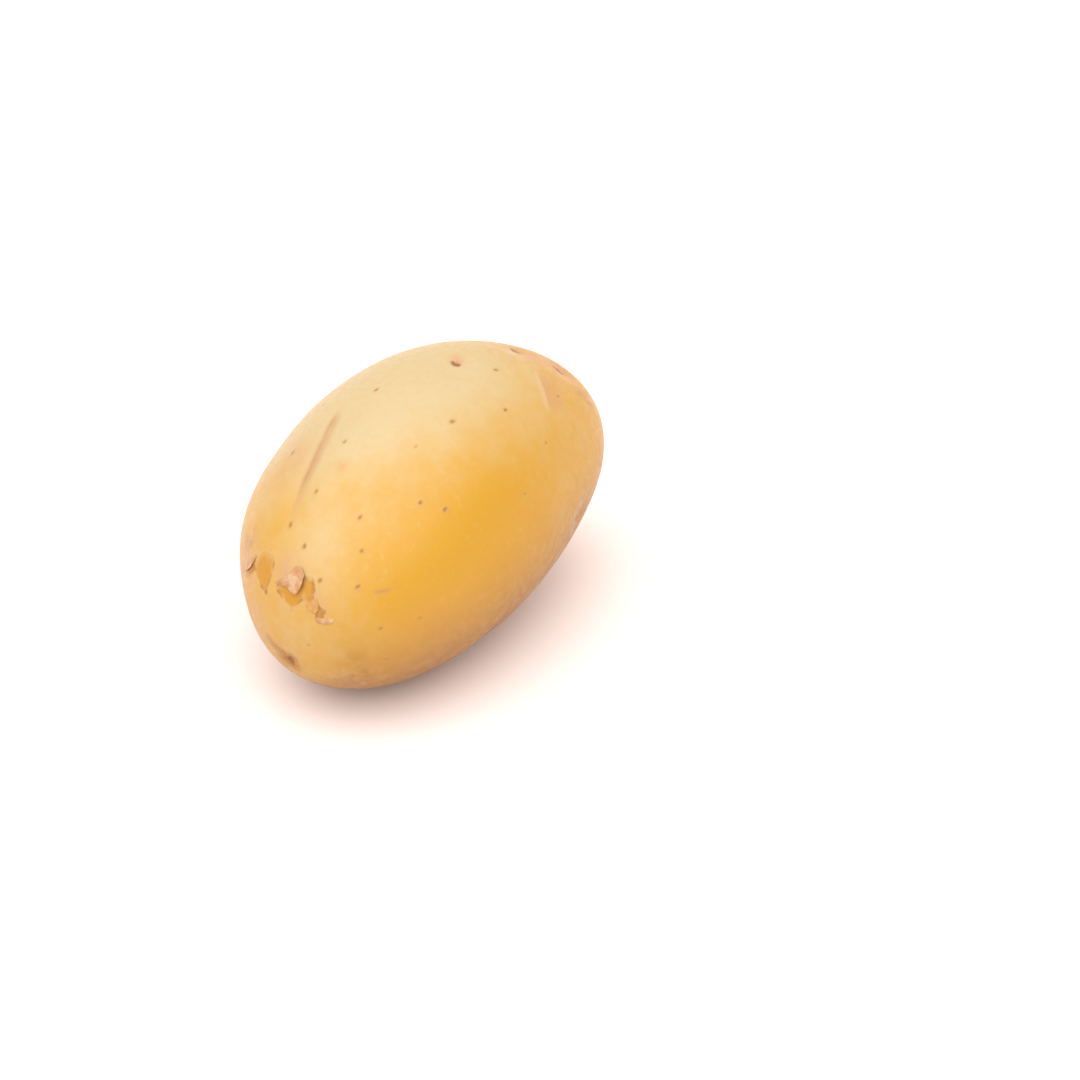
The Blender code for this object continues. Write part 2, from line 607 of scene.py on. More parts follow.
@dataclass(frozen=True)
class CorkyStreak(LineFeature):
    """A rough corky streak of skin that has healed over."""

    width: float = 2.6 * MM
    fine_share: float = 0.35  # of the width, on each side of the line
    raggedness: float = 0.45
    ragged_size: float = 1.2 * MM
    height: float = 0.16 * MM
    bump_size: float = 0.7 * MM
    least_bump: float = 0.4
    fade: tuple[float, float] = (-0.1, 0.7)  # shares of the line that the streak grows over
    faintest: float = 0.68  # what the scar's distance mark says along the middle of the streak
    edge_fall: float = 0.5  # how much that mark grows from the middle of the streak to its edge
    start_fall: float = 0.55  # how much that mark grows from the end of the streak to its start

    def fine_radius(self) -> float:
        """How far from its line the streak needs a fine mesh."""
        return self.fine_share * self.width

    def grow(self, skin: SkinField) -> None:
        """Adds the streak's roughness and its colour, both fading towards its start.

        Args:
            skin: The skin, whose height and scar mark this changes.
        """
        gap, share, _ = path_gaps(skin.points, self.corners(skin.tuber))
        near = gap < 2.0 * self.width
        points = skin.points[near]
        ragged = 1.0 + self.raggedness * grain(points, self.ragged_size, Seed.STREAK_EDGE)
        across = gap[near] / (0.5 * self.width * ragged)
        fade = smooth_step(share[near], *self.fade)
        bumps = self.least_bump + grain(points, self.bump_size, Seed.STREAK_BUMPS)
        skin.height[near] += self.height * fade * hump(across, 0.0, 1.0) * bumps
        fall = self.edge_fall * across**2 + self.start_fall * (1.0 - fade)
        skin.lower_mark(Mark.SCAR, near, self.faintest + fall)


@dataclass(frozen=True)
class Furrow(LineFeature):
    """The long fine crease at the bottom of the furrow along the back, with painted shade along it.
    """

    groove_width: float = 2.3 * MM
    groove_depth: float = 0.13 * MM
    band_width: float = 3.4 * MM  # of the faint band that the crease's painted shade fades out over
    band_shift: float = 0.25  # how far the band lies to one side, in its own widths
    band_shade: float = 0.55
    core_width: float = 0.60  # of the darker painted shade on the line itself, in band widths
    core_shade: float = 0.70
    fine_share: float = 0.25  # of the groove's width, on each side of the line
    wander: float = 0.35
    wander_size: float = 3.0 * MM
    fade: tuple[float, float, float] = (0.3, 0.5, 1.10)

    def fine_radius(self) -> float:
        """How far from its line the crease needs a fine mesh."""
        return self.fine_share * self.groove_width

    def grow(self, skin: SkinField) -> None:
        """Adds the groove and the painted shade along it, both fading at the ends.

        Args:
            skin: The skin, whose height and crease shade mark this changes.
        """
        gap, share, away = path_gaps(skin.points, self.corners(skin.tuber))
        near = gap < 2.0 * self.band_width
        side = away[near] @ self.middle(skin.tuber).sideways
        wander = 1.0 + self.wander * grain(skin.points[near], self.wander_size, Seed.CREASE)
        fade = line_fade(share[near], *self.fade)
        skin.height[near] -= self.groove_depth * fade * bell(gap[near], self.groove_width)
        core = bell(gap[near], self.core_width * self.band_width)
        band = bell(side + self.band_shift * self.band_width, self.band_width)
        band *= bell(gap[near], 2.0 * self.band_width)
        # painted shade on the crease's line and in a wider band to one side of it
        stain = np.maximum(self.core_shade * core, self.band_shade * band)
        skin.raise_mark(Mark.CREASE, near, fade * wander * stain)


@dataclass(frozen=True)
class PaleFold(LineFeature):
    """The lifted pale edge of the skin near the rose end, with peeled skin beyond it."""

    ridge_width: float = 1.9 * MM
    ridge_height: float = 0.06 * MM
    fine_share: float = 0.6  # of the ridge's width, on each side of the line
    step_depth: float = 0.07 * MM
    step_width: float = 9.0 * MM
    step_start: float = -0.1 * MM
    step_end: float = 0.6 * MM
    step_level: float = 0.3  # how much of the step's width isn't fading yet
    blush: float = 0.7
    fade: tuple[float, float, float] = (0.4, 0.75, 1.0)

    def fine_radius(self) -> float:
        """How far from its line the fold needs a fine mesh."""
        return self.fine_share * self.ridge_width

    def grow(self, skin: SkinField) -> None:
        """Adds the ridge, and the step down on the rose end side.

        Args:
            skin: The skin, whose height, fold and blush marks this changes.
        """
        gap, share, away = path_gaps(skin.points, self.corners(skin.tuber))
        near = gap < self.step_width
        beyond = away[near] @ self.middle(skin.tuber).endward
        beyond = smooth_step(beyond, self.step_start, self.step_end)
        fade = line_fade(share[near], *self.fade)
        ridge = fade * bell(gap[near], self.ridge_width)
        fall = 1.0 - smooth_step(gap[near], self.step_level * self.step_width, self.step_width)
        skin.height[near] += self.ridge_height * ridge - self.step_depth * beyond * fall * fade
        skin.raise_mark(Mark.FOLD, near, ridge)
        skin.marks[Mark.BLUSH][near] += self.blush * beyond * fall * fade


@dataclass(frozen=True)
class TornPatch(SkinFeature):
    """A patch where the thin skin has rubbed off, with a ragged edge."""

    place: SkinPlace
    length: float  # across the tuber, so that patches make a ring
    width: float
    turn: float = 0.0
    point: float = 0.0  # how much narrower the patch gets towards its stem side, up to 1
    widest: float = 0.3  # where the patch stops getting wider, as a share of half its length
    depth: float = 0.06 * MM
    wall: tuple[float, float] = (-0.10 * MM, 0.16 * MM)  # where the surface drops, from the edge
    edge_size: float = 2.3 * MM
    edge_wander: float = 0.75 * MM
    teeth_size: float = 0.9 * MM
    teeth_wander: float = 0.20 * MM
    lip_height: float = 0.05 * MM
    lip_width: float = 0.8 * MM
    lip_gap: float = 0.22 * MM  # from the edge out to the lip's crest
    lip_clearance: float = 0.3 * MM  # from another patch, where no lip is raised
    rim_reach: float = 0.85 * MM  # half the width of the band that the ragged rim runs in
    full_reach: float = 2.0 * MM

    def edge(self, tuber: Tuber, points: np.ndarray) -> np.ndarray:
        """How far points are inside the patch's edge, before it is made ragged.

        Args:
            tuber: The tuber, which finds the patch's place.
            points: An array of points, three numbers each.

        Returns:
            The distance for each point, negative outside the edge.
        """
        gap, end, side = tuber.spot(self.place).gaps(points)
        turn = math.radians(self.turn)
        long = side * math.cos(turn) + end * math.sin(turn)
        short = end * math.cos(turn) - side * math.sin(turn)
        narrow = 1.0 + self.point * np.clip(long / (0.5 * self.length), -1.0, self.widest)
        share = np.hypot(long / (0.5 * self.length), short / (0.5 * self.width * narrow))
        inside = (1.0 - share) * 0.5 * min(self.length, self.width)
        return np.where(gap < 2.0 * max(self.length, self.width), inside, -FAR_OFF * MM)

    def reach(self, tuber: Tuber, points: np.ndarray) -> np.ndarray:
        """How far points are outside the band along the patch's rim."""
        return np.abs(self.edge(tuber, points)) - self.rim_reach

    def grow(self, skin: SkinField) -> None:
        """Sinks the patch below the skin round it, and marks how far inside it a point is.

        Args:
            skin: The skin, whose height and torn mark this changes.
        """
        inside = self.edge(skin.tuber, skin.points)
        near = inside > -self.full_reach
        points = skin.points[near]
        inside = inside[near] + grain(points, self.edge_size, Seed.TORN_EDGE) * self.edge_wander
        inside += grain(points, self.teeth_size, Seed.TORN_TEETH) * self.teeth_wander
        already = skin.marks[Mark.TORN][near] * MM
        new = np.maximum(inside, already)
        sunk = smooth_step(new, *self.wall) - smooth_step(already, *self.wall)
        lip = bell(inside + self.lip_gap, self.lip_width) * (already < -self.lip_clearance)
        skin.height[near] += self.lip_height * lip - self.depth * sunk
        skin.marks[Mark.TORN][near] = new / MM


@dataclass(frozen=True)
class RestRub(SkinFeature):
    """Rubbed soil round the flat spot, which itself is left flat."""

    level_top: float = 0.075 * MM  # up to here the skin has no relief
    relief_start: float = 1.0 * MM  # from here it has all of its relief
    soil_height: float = 5.0 * MM
    soil: float = 0.35

    def grow(self, skin: SkinField) -> None:
        """Flattens every relief at the flat spot, and stains the skin round it.

        Args:
            skin: The skin, whose height and stain mark this changes.
        """
        up = skin.points[:, 2]
        skin.height *= smooth_step(up, self.level_top, self.relief_start)
        skin.marks[Mark.STAIN] += self.soil * (1.0 - smooth_step(up, 0.0, self.soil_height))


# ---- The skin itself ----


@dataclass
class Skin:
    """The potato's skin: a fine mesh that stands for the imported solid."""

    tuber: Tuber
    features: tuple[SkinFeature, ...]
    merge_gap: float = 0.001 * MM
    flat_height: float = 0.02 * MM  # a face with every corner below this is on the flat spot
    flat_rings: int = 4
    flat_ring_width: float = 1.1 * MM
    subdivisions: int = 2
    margins: tuple[float, ...] = (0.36 * MM, 0.05 * MM)

    def coarse_shape(self) -> bmesh.types.BMesh:
        """A merged copy of the solid, with rings of faces on its flat spot.

        Returns:
            The copy, closed and facing outwards.
        """
        shape = bmesh.new()
        shape.from_mesh(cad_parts[SOLID].data)
        bmesh.ops.remove_doubles(shape, verts=shape.verts, dist=self.merge_gap)
        self.tuber.read_surface(shape)
        flat = [
            face for face in shape.faces if all(v.co.z < self.flat_height for v in face.verts)
        ]
        joined = bmesh.ops.dissolve_faces(shape, faces=flat, use_verts=True)["region"]
        for _ in range(self.flat_rings):
            bmesh.ops.inset_region(
                shape, faces=joined, thickness=self.flat_ring_width, use_even_offset=True
            )
        bmesh.ops.poke(shape, faces=joined)
        return shape

    def smoothed(self, shape: bmesh.types.BMesh) -> bmesh.types.BMesh:
        """The shape after smooth subdivision.

        Args:
            shape: The coarse shape, which is freed.

        Returns:
            A new, finer shape.
        """
        coarse = mesh_of(shape, "coarse")
        helper = bpy.data.objects.new("coarse", coarse)
        bpy.context.scene.collection.objects.link(helper)
        rounding = helper.modifiers.new("rounding", "SUBSURF")
        rounding.levels = rounding.render_levels = self.subdivisions
        rounding.boundary_smooth = "ALL"
        graph = bpy.context.evaluated_depsgraph_get()
        fine = bmesh.new()
        fine.from_mesh(bpy.data.meshes.new_from_object(helper.evaluated_get(graph)))
        bpy.data.objects.remove(helper)
        bpy.data.meshes.remove(coarse)
        return fine

    def refine(self, shape: bmesh.types.BMesh) -> None:
        """Splits the faces where a feature needs a finer mesh, once for each margin.

        Args:
            shape: The shape, which gets the finer faces.
        """
        for margin in self.margins:
            points = points_of(shape)
            wanted = np.full(len(points), np.inf)
            for feature in self.features:
                np.minimum(wanted, feature.reach(self.tuber, points), out=wanted)
            close = wanted < margin
            shape.verts.index_update()
            edges = [
                edge
                for edge in shape.edges
                if close[edge.verts[0].index] and close[edge.verts[1].index]
            ]
            bmesh.ops.subdivide_edges(shape, edges=edges, cuts=1, use_grid_fill=True)

    def build(self) -> bpy.types.Object:
        """Makes the skin with its relief and its marks.

        Returns:
            The skin's object, riding on the tuber's body.
        """
        shape = self.smoothed(self.coarse_shape())
        self.refine(shape)
        shape.normal_update()
        points = points_of(shape)
        normals = np.array([vertex.normal for vertex in shape.verts])
        directions = self.tuber.directions(points)
        skin = SkinField(self.tuber, points, directions, np.zeros(len(points)))
        for feature in self.features:
            feature.grow(skin)
        for vertex, point in zip(shape.verts, points + skin.height[:, None] * normals):
            vertex.co = point
        mesh = mesh_of(shape, "potato_skin")
        mesh.shade_smooth()
        for mark, values in skin.marks.items():
            layer = mesh.attributes.new(mark.value, "FLOAT", "POINT")
            layer.data.foreach_set("value", values.astype(np.float32))
        return add_piece("potato_skin", mesh, replaced=SOLID)


def points_of(shape: bmesh.types.BMesh) -> np.ndarray:
    """Every vertex's place, in the shape's own order."""
    return np.array([vertex.co for vertex in shape.verts])


def mesh_of(shape: bmesh.types.BMesh, name: str) -> bpy.types.Mesh:
    """Turns a shape into a mesh.

    Args:
        shape: The shape, which is freed.
        name: The mesh's name.

    Returns:
        The mesh.
    """
    mesh = bpy.data.meshes.new(name)
    shape.to_mesh(mesh)
    shape.free()
    return mesh


def add_piece(name: str, mesh: bpy.types.Mesh, replaced: str = "") -> bpy.types.Object:
    """Puts a finished piece in the scene.

    Args:
        name: The piece's name.
        mesh: Its mesh, already in place.
        replaced: The CAD node that the piece stands for, if it does.

    Returns:
        The piece's object.
    """
    piece = bpy.data.objects.new(name, mesh)
    bpy.context.scene.collection.objects.link(piece)
    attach(piece, BODY)
    if replaced:
        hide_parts(replaced)
    log.info("%s: %d faces", name, len(mesh.polygons))
    return piece


class FlakeLook(Enum):
    """How far a loose flake has dried: its finish's name, its body colour, and lighter and darker
    copies of it for painted light and shade.
    """

    # each look's last two colours are the body lit and shaded, for painted light and shade
    DRY = ("dry_flake", (0.405, 0.214, 0.096), (0.462, 0.305, 0.180), (0.335, 0.160, 0.060))
    FRESH = ("fresh_flake", (0.428, 0.220, 0.055), (0.452, 0.262, 0.095), (0.370, 0.168, 0.036))


@dataclass(frozen=True)
class SkinFlake:
    """A thin flake of skin that has come loose and curls up at its free edge."""

    name: str
    place: SkinPlace
    turn: float  # degrees from the rose end, towards which the free edge points
    length: float
    width: float
    lift: float
    outline: tuple[tuple[float, float], ...]  # corners, as shares of half the length and width
    look: FlakeLook
    side_curl: float = 0.0
    root: float = -0.6  # where it starts to lift, from -1 to 1 towards its free edge
    lift_power: float = 1.5
    crinkle: float = 0.07 * MM
    crinkle_sizes: tuple[float, float] = (1.4 * MM, 0.6 * MM)
    small_crinkle: float = 0.5
    root_crinkle: float = 0.1
    thickness: float = 0.10 * MM
    sunk: float = 0.06 * MM
    divisions: int = 24
    roundings: int = 2
    corner_cut: float = 0.25  # how much of a side each rounding cuts off at both its ends
    raggedness: float = 0.12
    teeth: float = 3.0
    parallel: float = 1e-9  # a side that crosses a ray by less than this doesn't meet it
    slack: float = 1e-6  # how far past a side's ends a ray may still meet it

    def rounded_outline(self) -> list[Vector]:
        """The outline with its corners cut off twice, which leaves them softly rounded.

        Returns:
            The rounded outline's corners, in order.
        """
        corners = [Vector(corner) for corner in self.outline]
        for _ in range(self.roundings):
            cut = []
            for start, end in zip(corners, corners[1:] + corners[:1]):
                for share in (self.corner_cut, 1.0 - self.corner_cut):
                    cut.append(start.lerp(end, share))
            corners = cut
        return corners

    def outline_radius(self, corners: list[Vector], angle: float) -> float:
        """How far the outline is from the flake's middle, in a direction.

        Args:
            corners: The outline's corners, in order.
            angle: The direction, from the flake's free edge.

        Returns:
            The distance, in the outline's own shares.
        """
        ray = Vector((math.cos(angle), math.sin(angle)))
        best = 0.0
        for start, end in zip(corners, corners[1:] + corners[:1]):
            run = end - start
            cross = ray.x * run.y - ray.y * run.x
            if abs(cross) < self.parallel:
                continue
            along = (start.x * run.y - start.y * run.x) / cross
            share = (start.x * ray.y - start.y * ray.x) / cross
            if along > 0.0 and -self.slack <= share <= 1.0 + self.slack:
                best = max(best, along)
        ragged = noise.noise(Vector((self.teeth * ray.x, self.teeth * ray.y, self.turn)))
        return best * (1.0 + self.raggedness * ragged)

    def build(self, tuber: Tuber, surface: BVHTree) -> bpy.types.Object:
        """Makes the flake on the skin.

        Args:
            tuber: The tuber, which finds the flake's place.
            surface: The finished skin that the flake lies on.

        Returns:
            The flake's object.
        """
        shape = bmesh.new()
        bmesh.ops.create_grid(
            shape, x_segments=self.divisions, y_segments=self.divisions, size=1.0
        )
        corners = self.rounded_outline()
        spot = tuber.spot(self.place)
        turn = math.radians(self.turn)
        ahead = Vector(spot.endward * math.cos(turn) + spot.sideways * math.sin(turn))
        aside = Vector(spot.sideways * math.cos(turn) - spot.endward * math.sin(turn))
        large, small = self.crinkle_sizes
        for vertex in shape.verts:
            ring = max(abs(vertex.co.x), abs(vertex.co.y))
            angle = math.atan2(vertex.co.y, vertex.co.x)
            radius = ring * self.outline_radius(corners, angle)
            forward, across = radius * math.cos(angle), radius * math.sin(angle)
            start = Vector(spot.point)
            start += ahead * (0.5 * self.length * forward)
            start += aside * (0.5 * self.width * across)
            base, normal, _, _ = surface.find_nearest(start)
            free = max(0.0, (forward - self.root) / (1.0 - self.root))
            curl = self.lift * free**self.lift_power + self.side_curl * free * across**2
            folds = noise.noise(start / large + Vector((2.0, 7.0, self.turn)))
            folds += self.small_crinkle * noise.noise(start / small)
            rise = curl - self.sunk + self.crinkle * folds * (self.root_crinkle + free)
            vertex.co = base + normal.lerp(Vector(spot.outward), 0.5).normalized() * rise
        bmesh.ops.recalc_face_normals(shape, faces=shape.faces)
        if sum((face.normal.dot(Vector(spot.outward)) for face in shape.faces), 0.0) < 0.0:
            bmesh.ops.reverse_faces(shape, faces=shape.faces)
        bmesh.ops.solidify(shape, geom=shape.faces[:], thickness=self.thickness)
        bmesh.ops.recalc_face_normals(shape, faces=shape.faces)
        mesh = mesh_of(shape, self.name)
        mesh.shade_smooth()
        return add_piece(self.name, mesh)


# ---- Finishes ----


@dataclass(frozen=True)
class Slope:
    """A soft slope from low to high, as a value goes from start to end."""

    start: float
    end: float
    low: float = 0.0
    high: float = 1.0


@dataclass(frozen=True)
class Mottle:
    """The noises that skin and flakes share, as they arrive in a material."""

    cloud: bpy.types.NodeSocket
    patch: bpy.types.NodeSocket
    fine: bpy.types.NodeSocket
    fibre: bpy.types.NodeSocket


class Weave:
    """A node tree that is put together a step at a time."""

    def __init__(self, tree: bpy.types.NodeTree) -> None:
        """Keeps the tree that the steps are added to."""
        self.tree = tree

    def add(self, kind: str, inputs: dict | None = None, **settings: object) -> bpy.types.Node:
        """Adds a node.

        Args:
            kind: The node's type, without its first word.
            inputs: Values or outputs for its inputs, by name or number.
            settings: Properties to set on the node.

        Returns:
            The new node.
        """
        node = self.tree.nodes.new("ShaderNode" + kind)
        for name, value in settings.items():
            setattr(node, name, value)
        self.dress(node, inputs or {})
        return node

    def dress(self, node: bpy.types.Node, inputs: dict) -> None:
        """Links outputs to a node's inputs, or sets the inputs' own values.

        Args:
            node: The node.
            inputs: Values or outputs, by the input's name or number.
        """
        for name, value in inputs.items():
            socket = node.inputs[name]
            if isinstance(value, bpy.types.NodeSocket):
                self.tree.links.new(value, socket)
            elif socket.type == "RGBA":
                socket.default_value = (*value, 1.0)
            else:
                socket.default_value = value

    def mark(self, mark: Mark) -> bpy.types.NodeSocket:
        """The value of one of the skin's marks."""
        return self.add("Attribute", attribute_name=mark.value).outputs["Fac"]

    def sum(self, operation: str, *values: object) -> bpy.types.NodeSocket:
        """The result of an arithmetic step on values or outputs."""
        return self.add("Math", dict(enumerate(values)), operation=operation).outputs[0]

    def span(self, value: object, slope: Slope) -> bpy.types.NodeSocket:
        """A value's place on a slope.

        Args:
            value: The value, or the output that holds it.
            slope: The slope.

        Returns:
            The output that holds the place, between the slope's low and high.
        """
        ends = {"From Min": slope.start, "From Max": slope.end}
        levels = {"To Min": slope.low, "To Max": slope.high}
        inputs = {"Value": value} | ends | levels
        return self.add("MapRange", inputs, interpolation_type="SMOOTHSTEP").outputs["Result"]

    def blend(self, share: object, under: object, over: object) -> bpy.types.NodeSocket:
        """A colour between two others: all of the one under at 0, all of the one over at 1."""
        return self.add("Mix", {0: share, 6: under, 7: over}, data_type="RGBA").outputs[2]

    def noise(
        self, place: object, scale: float, detail: float = 3.0, roughness: float = 0.5
    ) -> bpy.types.NodeSocket:
        """Cloudy noise from 0 to 1."""
        inputs = {"Vector": place, "Scale": scale, "Detail": detail, "Roughness": roughness}
        return self.add("TexNoise", inputs).outputs["Fac"]

    def mottle(self, group: bpy.types.NodeTree, place: object, cloud_size: float) -> Mottle:
        """Adds the shared noises.

        Args:
            group: The node group that makes them.
            place: The output that holds the place on the potato.
            cloud_size: The size of the broad clouds.

        Returns:
            The noises.
        """
        node = self.add("Group", node_tree=group)
        self.dress(node, {"Place": place, "Cloud Size": cloud_size})
        return Mottle(*(node.outputs[name] for name in ("Cloud", "Patch", "Fine", "Fibre")))


def mottle_group() -> bpy.types.NodeTree:
    """The cloudy tone and fine grain that skin and flakes share.

    Returns:
        A node group that puts out a broad cloud, patches, a fine cloud and a fibre grain.
    """
    group = bpy.data.node_groups.new("skin_mottle", "ShaderNodeTree")
    interface = group.interface
    interface.new_socket("Place", in_out="INPUT", socket_type="NodeSocketVector")
    interface.new_socket("Cloud Size", in_out="INPUT", socket_type="NodeSocketFloat")
    weave = Weave(group)
    entry = group.nodes.new("NodeGroupInput")
    place = entry.outputs["Place"]
    scale = weave.sum("DIVIDE", 1.0, entry.outputs["Cloud Size"])
    drawn = weave.add("Mapping", {"Vector": place, "Scale": (0.16, 1.0, 1.0)}).outputs[0]
    noises = {
        "Cloud": weave.noise(place, scale, 4.0, 0.55),
        "Patch": weave.noise(place, 300.0, 3.0, 0.5),
        "Fine": weave.noise(place, 620.0, 5.0, 0.6),
        "Fibre": weave.noise(drawn, 1500.0, 3.0, 0.6),
    }
    for name in noises:
        interface.new_socket(name, in_out="OUTPUT", socket_type="NodeSocketFloat")
    leave = group.nodes.new("NodeGroupOutput")
    for name, value in noises.items():
        group.links.new(value, leave.inputs[name])
    return group


def new_material(name: str) -> tuple[bpy.types.Material, Weave, bpy.types.Node]:
    """Starts a material.

    Args:
        name: The material's name.

    Returns:
        The material, its tree and its shader.
    """
    material = bpy.data.materials.new(name)
    material.use_nodes = True
    return material, Weave(material.node_tree), material.node_tree.nodes["Principled BSDF"]


@dataclass(frozen=True)
class Depth:
    """How light spreads under a surface before it comes out again."""

    weight: float
    scale: float
    radius: Colour = (1.0, 0.45, 0.16)

    def inputs(self) -> dict[str, object]:
        """The values for the shader's own inputs."""
        weight = {"Subsurface Weight": self.weight, "Subsurface Scale": self.scale}
        return weight | {"Subsurface Radius": self.radius}


@dataclass(frozen=True)
class Layer:
    """One colour, laid over the skin where a mark says so."""

    mark: Mark
    colour: Colour
    strength: Slope | None = None  # how strong the colour is, by the mark's value
    wobble: float = 0.0  # how far fine noise moves that value to both sides
    broken: Slope | None = None  # how patchy noise breaks the colour up
    fineness: float = 0.0  # the share of fine noise in the patchy noise
    toned: bool = False  # whether each lenticel's own tone weakens the colour


@dataclass(frozen=True)
class SkinFinish:
    """Smooth, satin, yellow potato skin, with everything that marks it."""

    group: bpy.types.NodeTree
    cream: Colour = (0.452, 0.362, 0.192)
    # deep yellow; on one flank it also stands for painted bounced light
    gold: Colour = (0.462, 0.246, 0.006)
    blush: Colour = (0.433, 0.228, 0.083)
    pale: Colour = (0.470, 0.355, 0.212)
    # painted shade for the underside
    dull: Colour = (0.238, 0.092, 0.003)
    dry: Colour = (0.422, 0.258, 0.148)
    stain: Colour = (0.235, 0.098, 0.012)
    pore: Colour = (0.228, 0.120, 0.010)
    pore_halo: Colour = (0.425, 0.228, 0.075)
    lid: Colour = (0.185, 0.060, 0.018)
    bud: Colour = (0.440, 0.200, 0.112)
    # painted shade in the creases
    crease_shade: Colour = (0.335, 0.172, 0.070)
    cork: Colour = (0.300, 0.128, 0.014)
    cork_pit: Colour = (0.215, 0.068, 0.001)
    flesh: Colour = (0.415, 0.202, 0.008)
    flesh_rim: Colour = (0.285, 0.120, 0.020)
    sheen: Colour = (1.0, 0.86, 0.76)
    sheen_weight: float = 0.04
    sheen_roughness: float = 0.45
    roughness: float = 0.42
    depth: Depth = Depth(0.12, 0.0016)
    tilt: float = math.radians(7.0)
    cloud_size: float = 0.011
    pits_scale: float = 1150.0
    bump_strength: float = 0.35
    bump_distance: float = 0.00012

    def colour(self, weave: Weave, noises: Mottle) -> bpy.types.NodeSocket:
        """The skin's colour, from its broad tones down to the eyes and specks.

        Args:
            weave: The material's tree.
            noises: The shared noises.

        Returns:
            The output that holds the colour.
        """
        tint = self.tones(weave, noises)
        for layer in self.layers():
            tint = weave.blend(self.strength(weave, noises, layer), tint, layer.colour)
        return tint

    def tones(self, weave: Weave, noises: Mottle) -> bpy.types.NodeSocket:
        """The skin's broad tones: cream to gold with some painted light in it, blush, and small
        darker and lighter flecks.

        Args:
            weave: The material's tree.
            noises: The shared noises.

        Returns:
            The output that holds the colour.
        """
        unsettled = weave.span(noises.cloud, Slope(0.30, 0.70, -0.07, 0.07))
        patches = weave.span(noises.patch, Slope(0.30, 0.70, -0.04, 0.04))
        unsettled = weave.sum("ADD", unsettled, patches)
        gold = weave.sum("ADD", weave.mark(Mark.GOLD), unsettled)
        tint = weave.blend(weave.span(gold, Slope(0.0, 1.0)), self.cream, self.gold)
        blush = weave.sum("ADD", weave.mark(Mark.BLUSH), weave.sum("MULTIPLY", unsettled, 0.4))
        tint = weave.blend(weave.span(blush, Slope(0.1, 1.0, 0.0, 0.9)), tint, self.blush)
        flecks = weave.span(noises.fine, Slope(0.40, 0.75, 0.0, 0.12))
        tint = weave.blend(flecks, tint, self.blush)
        lights = weave.span(noises.fine, Slope(0.46, 0.28, 0.0, 0.13))
        return weave.blend(lights, tint, self.pale)

    def layers(self) -> tuple[Layer, ...]:
        """The colours laid over the broad tones, in order.

        Returns:
            Layers for worn skin, painted shade underneath and in the creases, lines, torn patches,
            lenticels, eyes and the stem scar.
        """
        rim_breaks = Slope(0.42, 0.58, 0.10, 0.85)
        return (
            # painted shade, darker and browner towards the underside
            Layer(Mark.DULL, self.dull, broken=Slope(0.30, 0.60, 0.75, 1.0)),
            Layer(Mark.DRY, self.dry, broken=Slope(0.35, 0.55, 0.3, 1.0)),
            Layer(Mark.STAIN, self.stain, broken=Slope(0.38, 0.58), fineness=0.2),
            Layer(Mark.CREASE, self.crease_shade, Slope(0.0, 1.0, 0.0, 0.95)),
            Layer(Mark.FOLD, self.pale, Slope(0.1, 0.9, 0.0, 0.55)),
            Layer(Mark.TORN, self.pale, Slope(-0.9, -0.1, 0.0, 0.12), 0.12),
            Layer(Mark.TORN, self.flesh_rim, Slope(-0.40, 0.05), 0.12, rim_breaks),
            Layer(Mark.TORN, self.flesh, Slope(0.0, 1.1), 0.12),
            Layer(Mark.SPECK, self.pore_halo, Slope(2.6, 0.8, 0.0, 0.50), 0.28, toned=True),
            Layer(Mark.SPECK, self.pore, Slope(1.55, 0.20), 0.28, toned=True),
            Layer(Mark.BUD, self.bud, Slope(0.05, 0.9, 0.0, 0.8)),
            Layer(Mark.LID, self.lid, Slope(1.6, 0.30, 0.0, 0.92), 0.30),
            Layer(Mark.SCAR, self.cork, Slope(1.7, 0.95, 0.0, 0.75), 0.22),
            Layer(Mark.SCAR, self.cork_pit, Slope(0.62, 0.30), 0.22),
        )

    def strength(self, weave: Weave, noises: Mottle, layer: Layer) -> bpy.types.NodeSocket:
        """How strong a layer is over the skin.

        Args:
            weave: The material's tree.
            noises: The shared noises.
            layer: The layer.

        Returns:
            The output that holds the strength, from 0 to 1.
        """
        value = weave.mark(layer.mark)
        if layer.wobble:
            uneven = Slope(0.3, 0.7, -layer.wobble, layer.wobble)
            value = weave.sum("ADD", value, weave.span(noises.fine, uneven))
        if layer.strength:
            value = weave.span(value, layer.strength)
        breaker = noises.patch
        if layer.fineness:
            coarse = weave.sum("MULTIPLY", breaker, 1.0 - layer.fineness)
            fine = weave.sum("MULTIPLY", noises.fine, layer.fineness)
            breaker = weave.sum("ADD", coarse, fine)
        if layer.broken:
            value = weave.sum("MULTIPLY", value, weave.span(breaker, layer.broken))
        if layer.toned:
            value = weave.sum("MULTIPLY", value, weave.mark(Mark.SPECK_TONE))
        return value

    def relief(self, weave: Weave, noises: Mottle, place: object) -> bpy.types.NodeSocket:
        """The finest relief: grain, pores too small to model, and torn skin's roughness.

        Args:
            weave: The material's tree.
            noises: The shared noises.
            place: The output that holds the place on the potato.

        Returns:
            The output that holds the bent normal.
        """
        tiny = weave.add("TexVoronoi", {"Vector": place, "Scale": self.pits_scale}, feature="F1")
        pits = weave.span(tiny.outputs["Distance"], Slope(0.0, 0.45))
        rough = weave.span(weave.mark(Mark.TORN), Slope(-0.2, 0.2, 0.35, 1.4))
        height = weave.sum("MULTIPLY", noises.fine, 0.9)
        for value, share in ((noises.fibre, 0.35), (pits, 0.22)):
            height = weave.sum("ADD", height, weave.sum("MULTIPLY", value, share))
        height = weave.sum("MULTIPLY", height, rough)
        amount = {"Strength": self.bump_strength, "Distance": self.bump_distance}
        return weave.add("Bump", {"Height": height} | amount).outputs["Normal"]

